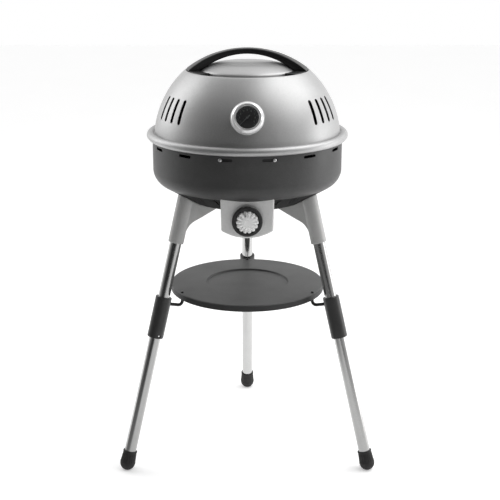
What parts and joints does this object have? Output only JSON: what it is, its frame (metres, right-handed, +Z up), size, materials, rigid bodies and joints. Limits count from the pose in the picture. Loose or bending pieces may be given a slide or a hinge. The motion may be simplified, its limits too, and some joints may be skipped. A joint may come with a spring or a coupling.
{
  "type": "charbroiler grill",
  "caption": "Portable gas kettle grill: grey dome lid with strap handle and thermometer, dark bowl, round shelf and splayed tube legs with rubber feet.",
  "frame": {"origin": "middle of the bounding box on the floor; the kettle's axis stands 58.5 mm in front of it, towards -Y", "axes": "+Z up, -Y to the front where the knob and thermometer are, +X to the right seen from behind the grill's front, that is to the right in a front view"},
  "size_m": [0.6244, 0.598, 1.005],
  "materials": {
    "grey_paint": "satin metallic grey paint",
    "dark_paint": "satin charcoal paint",
    "grey_casting": "satin grey casting",
    "panel_grey": "satin grey paint",
    "black_plastic": "satin black",
    "tube_aluminium": "polished",
    "chrome_trim": "polished",
    "zinc_steel": "bright zinc",
    "stainless": "brushed",
    "brass": "machined",
    "rubber_foot": "matte",
    "dial_black": "printed dial",
    "needle_grey": "painted",
    "dial_glass": "clear",
    "knob_silver": "metallised satin",
    "cast_iron": "black enamel"
  },
  "bodies": {
    "base": {"bowl": "dark_paint", "plate_support_front": "dark_paint", "plate_support_left": "dark_paint", "plate_support_right": "dark_paint", "support_screws": "zinc_steel", "leg_bracket_left": "grey_casting", "leg_bracket_right": "grey_casting", "leg_bracket_rear": "grey_casting", "bracket_bolts": "zinc_steel", "upper_tube_left": "tube_aluminium", "upper_tube_right": "tube_aluminium", "upper_tube_rear": "tube_aluminium", "leg_sleeve_left": "black_plastic", "leg_sleeve_right": "black_plastic", "leg_sleeve_rear": "black_plastic", "shelf_hook_left": "black_plastic", "shelf_hook_right": "black_plastic", "shelf_hook_rear": "black_plastic", "control_panel": "panel_grey", "panel_screws": "zinc_steel", "valve_body": "brass", "valve_nut": "zinc_steel", "valve_jet": "brass", "gas_inlet": "brass", "venturi_tube": "stainless", "burner_ring": "stainless", "flame_tamer": "stainless"},
    "lid": {"lid_dome": "grey_paint", "lid_handle": "black_plastic", "handle_screws": "zinc_steel", "thermometer_case": "chrome_trim", "thermometer_dial": "dial_black", "thermometer_lens": "dial_glass", "thermometer_probe": "stainless", "thermometer_nut": "zinc_steel"},
    "needle": {"thermometer_needle": "needle_grey"},
    "grill_plate": {"grill_plate": "cast_iron"},
    "shelf": {"shelf": "dark_paint"},
    "knob_carrier": {"valve_plunger": "brass"},
    "knob": {"valve_spindle": "zinc_steel", "knob_skirt": "black_plastic", "knob_grip": "knob_silver"},
    "leg_left": {"lower_tube_left": "tube_aluminium", "foot_left": "rubber_foot"},
    "button_left": {"snap_button_left": "chrome_trim"},
    "leg_right": {"lower_tube_right": "tube_aluminium", "foot_right": "rubber_foot"},
    "button_right": {"snap_button_right": "chrome_trim"},
    "leg_rear": {"lower_tube_rear": "tube_aluminium", "foot_rear": "rubber_foot"},
    "button_rear": {"snap_button_rear": "chrome_trim"}
  },
  "joints": [
    {"name": "lid_lift", "type": "slide", "parent": "base", "child": "lid", "axis": [0, 0, 1], "range_m": [0, 0.3]},
    {"name": "needle_turn", "type": "hinge", "parent": "lid", "child": "needle", "pos_m": [0, -0.2707, 0.87636], "axis": [0, 0.9205, -0.3907], "range_deg": [0, 270]},
    {"name": "grill_plate_lift", "type": "slide", "parent": "base", "child": "grill_plate", "axis": [0, 0, 1], "range_m": [0, 0.045]},
    {"name": "shelf_lift", "type": "slide", "parent": "base", "child": "shelf", "axis": [0, 0, 1], "range_m": [0, 0.04]},
    {"name": "knob_push", "type": "slide", "parent": "base", "child": "knob_carrier", "axis": [0, 1, 0], "range_m": [0, 0.004], "stiffness_N_per_m": 1500, "springref_m": -0.003},
    {"name": "knob_turn", "type": "hinge", "parent": "knob_carrier", "child": "knob", "pos_m": [0, -0.26652, 0.6386], "axis": [0, -1, 0], "range_deg": [0, 215]},
    {"name": "leg_left_pull", "type": "slide", "parent": "base", "child": "leg_left", "axis": [-0.2203, -0.1272, -0.9671], "range_m": [0, 0.06]},
    {"name": "button_left_press", "type": "slide", "parent": "leg_left", "child": "button_left", "axis": [-0.5, 0.866, 0], "range_m": [0, 0.004], "stiffness_N_per_m": 800, "springref_m": -0.003},
    {"name": "leg_right_pull", "type": "slide", "parent": "base", "child": "leg_right", "axis": [0.2203, -0.1272, -0.9671], "range_m": [0, 0.06]},
    {"name": "button_right_press", "type": "slide", "parent": "leg_right", "child": "button_right", "axis": [-0.5, -0.866, 0], "range_m": [0, 0.004], "stiffness_N_per_m": 800, "springref_m": -0.003},
    {"name": "leg_rear_pull", "type": "slide", "parent": "base", "child": "leg_rear", "axis": [0, 0.2544, -0.9671], "range_m": [0, 0.06]},
    {"name": "button_rear_press", "type": "slide", "parent": "leg_rear", "child": "button_rear", "axis": [1, 0, 0], "range_m": [0, 0.004], "stiffness_N_per_m": 800, "springref_m": -0.003}
  ]
}
